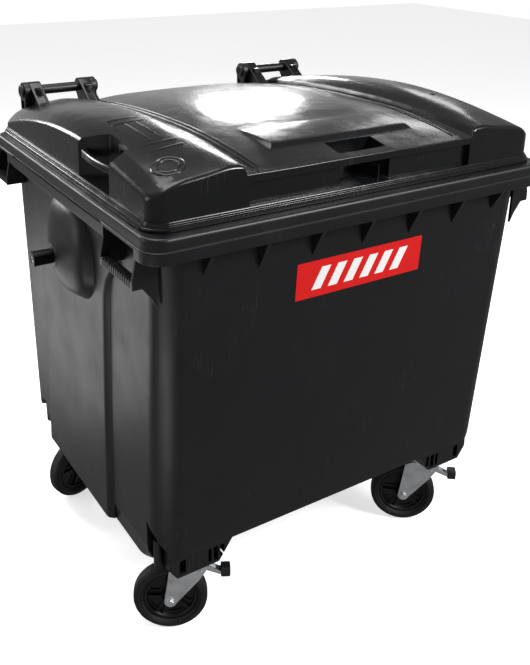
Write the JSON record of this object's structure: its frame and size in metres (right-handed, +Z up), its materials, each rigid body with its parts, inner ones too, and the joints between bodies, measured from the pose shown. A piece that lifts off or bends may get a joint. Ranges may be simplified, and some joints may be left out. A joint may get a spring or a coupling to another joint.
{
  "type": "four wheeled waste container",
  "caption": "Large street waste container on swivel castors, with a flat hinged lid, side lifting trunnions and carrying handles.",
  "frame": {"origin": "on the ground under the middle of the overall outline", "axes": "+X along the long front, towards the right-hand end as seen from the front; -Y towards the front; +Z up"},
  "size_m": [1.37, 1.0908, 1.3668],
  "materials": {
    "body_plastic": "moulded polyethylene, satin",
    "lid_plastic": "moulded polyethylene, smooth and slightly glossy",
    "black_plastic": "black moulded, satin",
    "tyre_rubber": "matt black rubber",
    "wheel_plastic": "dark moulded, satin",
    "galvanised_steel": "bright zinc plated",
    "blackened_steel": "black oxide, satin",
    "label_film": "red printed vinyl film",
    "pad_plastic": "dark grey moulded"
  },
  "bodies": {
    "tub": {"body_tub": "body_plastic", "front_label": "label_film", "hinge_bar_left": "black_plastic", "hinge_bar_right": "black_plastic", "hinge_cap_left_left": "black_plastic", "hinge_cap_left_right": "black_plastic", "hinge_cap_right_left": "black_plastic", "hinge_cap_right_right": "black_plastic", "trunnion_left": "blackened_steel", "trunnion_right": "blackened_steel", "trunnion_bolt_left": "galvanised_steel", "trunnion_bolt_right": "galvanised_steel", "drain_seal": "tyre_rubber", "castor_front_left_top_plate": "galvanised_steel", "castor_front_left_kingpin": "galvanised_steel", "castor_front_right_top_plate": "galvanised_steel", "castor_front_right_kingpin": "galvanised_steel", "castor_rear_left_top_plate": "galvanised_steel", "castor_rear_left_kingpin": "galvanised_steel", "castor_rear_right_top_plate": "galvanised_steel", "castor_rear_right_kingpin": "galvanised_steel"},
    "lid": {"lid": "lid_plastic"},
    "drain_plug": {"drain_plug": "black_plastic"},
    "castor_front_left_swivel": {"castor_front_left_fork": "galvanised_steel", "castor_front_left_axle_bolt": "galvanised_steel", "castor_front_left_axle_nut": "galvanised_steel", "castor_front_left_brake_spindle": "galvanised_steel"},
    "castor_front_left_wheel": {"castor_front_left_tyre": "tyre_rubber", "castor_front_left_wheel_rim": "wheel_plastic", "castor_front_left_bush": "galvanised_steel"},
    "castor_front_left_brake": {"castor_front_left_brake_lever": "galvanised_steel", "castor_front_left_brake_pad": "pad_plastic"},
    "castor_front_right_swivel": {"castor_front_right_fork": "galvanised_steel", "castor_front_right_axle_bolt": "galvanised_steel", "castor_front_right_axle_nut": "galvanised_steel", "castor_front_right_brake_spindle": "galvanised_steel"},
    "castor_front_right_wheel": {"castor_front_right_tyre": "tyre_rubber", "castor_front_right_wheel_rim": "wheel_plastic", "castor_front_right_bush": "galvanised_steel"},
    "castor_front_right_brake": {"castor_front_right_brake_lever": "galvanised_steel", "castor_front_right_brake_pad": "pad_plastic"},
    "castor_rear_left_swivel": {"castor_rear_left_fork": "galvanised_steel", "castor_rear_left_axle_bolt": "galvanised_steel", "castor_rear_left_axle_nut": "galvanised_steel"},
    "castor_rear_left_wheel": {"castor_rear_left_tyre": "tyre_rubber", "castor_rear_left_wheel_rim": "wheel_plastic", "castor_rear_left_bush": "galvanised_steel"},
    "castor_rear_right_swivel": {"castor_rear_right_fork": "galvanised_steel", "castor_rear_right_axle_bolt": "galvanised_steel", "castor_rear_right_axle_nut": "galvanised_steel"},
    "castor_rear_right_wheel": {"castor_rear_right_tyre": "tyre_rubber", "castor_rear_right_wheel_rim": "wheel_plastic", "castor_rear_right_bush": "galvanised_steel"}
  },
  "joints": [
    {"name": "lid_hinge", "type": "hinge", "parent": "tub", "child": "lid", "pos_m": [0, 0.51895, 1.3242], "axis": [-1, 0, 0], "range_deg": [0, 250]},
    {"name": "drain_plug_turn", "type": "hinge", "parent": "tub", "child": "drain_plug", "pos_m": [0, -0.27145, 0.232], "axis": [0, 0, 1], "range_deg": [0, 90]},
    {"name": "castor_front_left_turn", "type": "hinge", "parent": "tub", "child": "castor_front_left_swivel", "pos_m": [-0.4193, -0.36675, 0.22], "axis": [0, 0, 1], "continuous": true},
    {"name": "castor_front_left_roll", "type": "hinge", "parent": "castor_front_left_swivel", "child": "castor_front_left_wheel", "pos_m": [-0.46373, -0.34253, 0.1], "axis": [0.4787, 0.878, 0], "continuous": true},
    {"name": "castor_front_left_brake_press", "type": "hinge", "parent": "castor_front_left_swivel", "child": "castor_front_left_brake", "pos_m": [-0.39289, -0.38115, 0.196], "axis": [0.4787, 0.878, 0], "range_deg": [0, 14]},
    {"name": "castor_front_right_turn", "type": "hinge", "parent": "tub", "child": "castor_front_right_swivel", "pos_m": [0.4193, -0.36675, 0.22], "axis": [0, 0, 1], "continuous": true},
    {"name": "castor_front_right_roll", "type": "hinge", "parent": "castor_front_right_swivel", "child": "castor_front_right_wheel", "pos_m": [0.37965, -0.33532, 0.1], "axis": [0.6212, 0.7837, 0], "continuous": true},
    {"name": "castor_front_right_brake_press", "type": "hinge", "parent": "castor_front_right_swivel", "child": "castor_front_right_brake", "pos_m": [0.44287, -0.38543, 0.196], "axis": [0.6212, 0.7837, 0], "range_deg": [0, 14]},
    {"name": "castor_rear_left_turn", "type": "hinge", "parent": "tub", "child": "castor_rear_left_swivel", "pos_m": [-0.4193, 0.32535, 0.22], "axis": [0, 0, 1], "continuous": true},
    {"name": "castor_rear_left_roll", "type": "hinge", "parent": "castor_rear_left_swivel", "child": "castor_rear_left_wheel", "pos_m": [-0.46801, 0.31166, 0.1], "axis": [-0.2706, 0.9627, 0], "continuous": true},
    {"name": "castor_rear_right_turn", "type": "hinge", "parent": "tub", "child": "castor_rear_right_swivel", "pos_m": [0.4193, 0.32535, 0.22], "axis": [0, 0, 1], "continuous": true},
    {"name": "castor_rear_right_roll", "type": "hinge", "parent": "castor_rear_right_swivel", "child": "castor_rear_right_wheel", "pos_m": [0.3702, 0.33759, 0.1], "axis": [0.2419, 0.9703, 0], "continuous": true}
  ]
}
